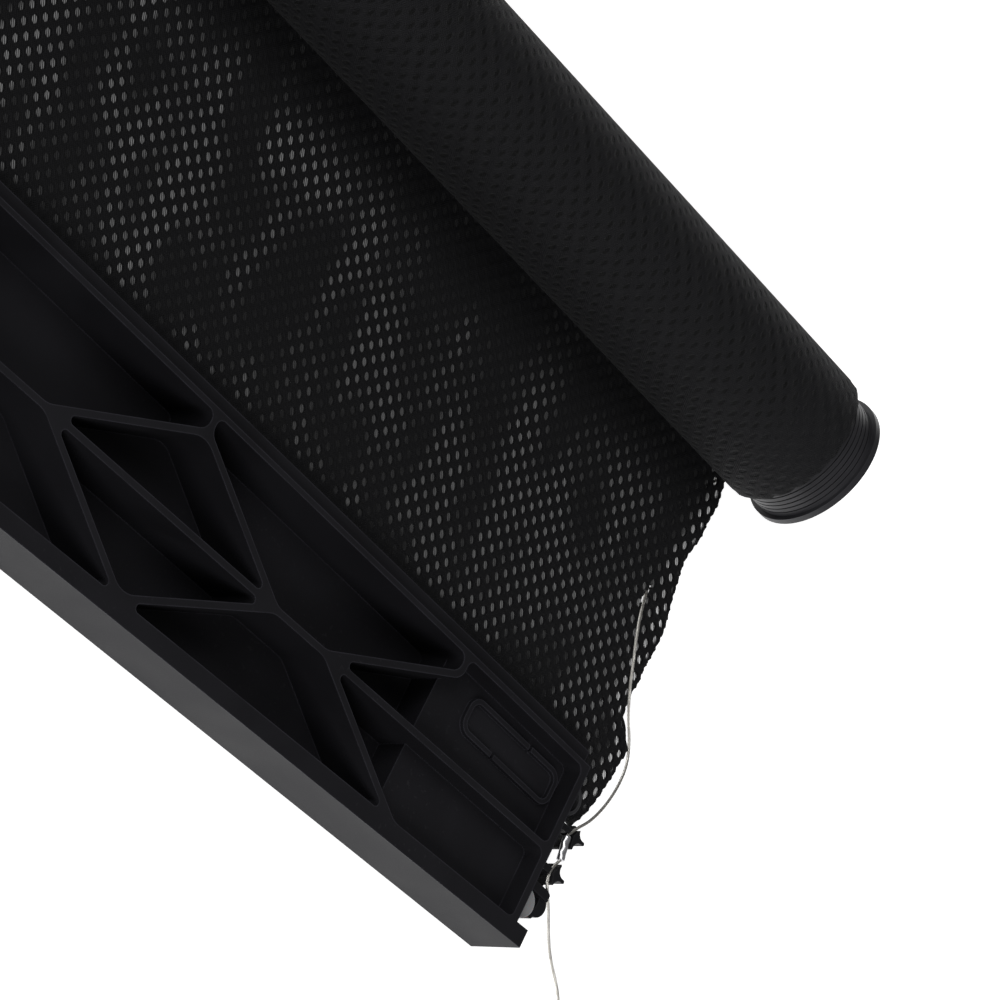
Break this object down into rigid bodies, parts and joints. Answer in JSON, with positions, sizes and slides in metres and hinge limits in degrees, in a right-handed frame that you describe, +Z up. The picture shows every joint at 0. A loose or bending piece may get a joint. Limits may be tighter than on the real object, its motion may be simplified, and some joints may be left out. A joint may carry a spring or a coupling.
{
  "type": "load space cover",
  "caption": "Sprung roller cover for a load space: a roll of spacer mesh, a ribbed tapering pull bar, and a thin cable along each edge.",
  "frame": {"origin": "middle of the footprint of the roller and the pull bar, on the surface they lie on; the cables and their tails are not counted", "axes": "+X along the roller, +Y from the pull bar towards the roller, +Z up; the cover lies ribs up"},
  "size_m": [1.1576, 0.1944, 0.0408],
  "materials": {
    "bar_plastic": "fine moulded grain",
    "shoe_plastic": "satin",
    "pale_plastic": "smooth",
    "drum_plastic": "satin",
    "bush_plastic": "smooth",
    "rod_plastic": "smooth",
    "mesh_fabric": "knitted spacer mesh",
    "steel": "zinc plated",
    "cable_steel": "bright drawn cable",
    "sleeve_aluminium": "satin",
    "tube_aluminium": "mill"
  },
  "bodies": {
    "axle": {"axle": "steel", "roller_spring": "steel", "spring_anchor": "steel", "thrust_washers": "bush_plastic", "retaining_clips": "steel"},
    "roller": {"roller_tube": "tube_aluminium", "tube_keder": "rod_plastic", "cable_drum_right": "drum_plastic", "cable_drum_left": "drum_plastic", "bearing_bush_right": "bush_plastic", "bearing_bush_left": "bush_plastic", "drum_screws": "steel", "drum_nipples": "sleeve_aluminium", "spring_driver": "drum_plastic", "fabric_roll": "mesh_fabric"},
    "pull_bar": {"bar_shell": "bar_plastic", "hem_rod": "rod_plastic", "shoe_screws": "steel", "fabric_sheet": "mesh_fabric", "end_shoe_right": "shoe_plastic", "end_shoe_left": "shoe_plastic", "leaf_fin_right": "pale_plastic", "leaf_fin_left": "pale_plastic", "slide_pad_right": "pale_plastic", "slide_pad_left": "pale_plastic", "cable_run_right": "cable_steel", "cable_run_left": "cable_steel", "crimp_sleeve_right": "sleeve_aluminium", "crimp_sleeve_left": "sleeve_aluminium", "cable_tail_right": "cable_steel", "cable_tail_left": "cable_steel", "cable_coil_right": "cable_steel", "cable_coil_left": "cable_steel", "coil_tie_right": "rod_plastic", "coil_tie_left": "rod_plastic", "tail_nipple_right": "sleeve_aluminium", "tail_nipple_left": "sleeve_aluminium"}
  },
  "joints": [
    {"name": "bar_slide", "type": "slide", "parent": "axle", "child": "pull_bar", "axis": [0, -1, 0], "range_m": [-0.07, 0.7], "stiffness_N_per_m": 20, "deforming": ["fabric_sheet", "cable_run_right", "cable_run_left"]},
    {"name": "roller_spin", "type": "hinge", "parent": "axle", "child": "roller", "pos_m": [0, 0.07687, 0.0204], "axis": [-1, 0, 0], "range_deg": [-229, 2279]}
  ],
  "couplings": [
    {"joint": "roller_spin", "follows": "bar_slide", "rad_per_m": 56.8}
  ]
}
